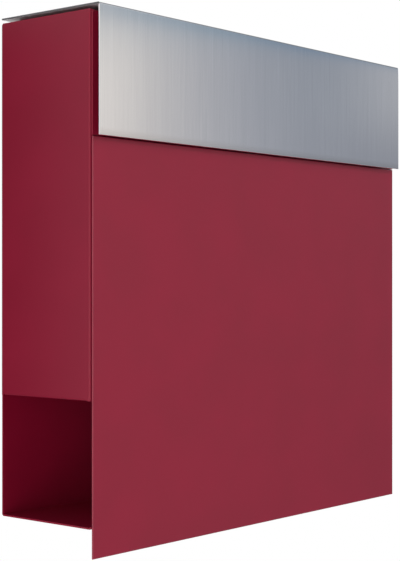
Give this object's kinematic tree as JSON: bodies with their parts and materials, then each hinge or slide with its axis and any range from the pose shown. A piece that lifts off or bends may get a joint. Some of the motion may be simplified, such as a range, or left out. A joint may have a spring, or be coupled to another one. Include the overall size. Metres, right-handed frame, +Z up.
{
  "type": "wall mounted post box",
  "caption": "Wall mounted post box of folded sheet metal with a lifting lid over the mail slot, a side hinged front door and a newspaper compartment open at both sides.",
  "frame": {"origin": "middle of the four wall holes, on the wall", "axes": "+X to the right as seen from the front, +Y into the wall, +Z up"},
  "size_m": [0.3814, 0.1006, 0.3786],
  "materials": {
    "red_powder_coat": "satin powder coat",
    "brushed_stainless": "vertically brushed",
    "hinge_stainless": "rolled",
    "zinc_plated_steel": "zinc plated",
    "lock_chrome": "polished plating",
    "black_rubber": "matte"
  },
  "bodies": {
    "housing": {"housing_shell": "red_powder_coat", "mail_floor": "red_powder_coat", "top_panel": "red_powder_coat", "lock_body": "lock_chrome", "lock_washer": "zinc_plated_steel", "lock_nut": "zinc_plated_steel", "lid_hinge_fixed_leaf": "hinge_stainless", "lid_hinge_pin": "hinge_stainless", "door_hinge_fixed_leaf": "hinge_stainless", "door_hinge_pin": "hinge_stainless", "lid_buffers": "black_rubber", "door_buffers": "black_rubber"},
    "lid": {"lid": "brushed_stainless", "lid_hinge_moving_leaf": "hinge_stainless"},
    "door": {"door_panel": "red_powder_coat", "door_stiffener": "red_powder_coat", "strike_plate": "zinc_plated_steel", "door_hinge_moving_leaf": "hinge_stainless"},
    "lock_core": {"lock_plug": "lock_chrome", "lock_cam": "zinc_plated_steel", "cam_screw": "zinc_plated_steel"}
  },
  "joints": [
    {"name": "lid_hinge", "type": "hinge", "parent": "housing", "child": "lid", "pos_m": [0, -0.0038, 0.1309], "axis": [-1, 0, 0], "range_deg": [0, 90]},
    {"name": "door_hinge", "type": "hinge", "parent": "housing", "child": "door", "pos_m": [0.19, -0.09125, -0.045], "axis": [0, 0, 1], "range_deg": [0, 110]},
    {"name": "lock_turn", "type": "hinge", "parent": "housing", "child": "lock_core", "pos_m": [0, -0.08, 0.0581], "axis": [0, 1, 0], "range_deg": [0, 90]}
  ]
}
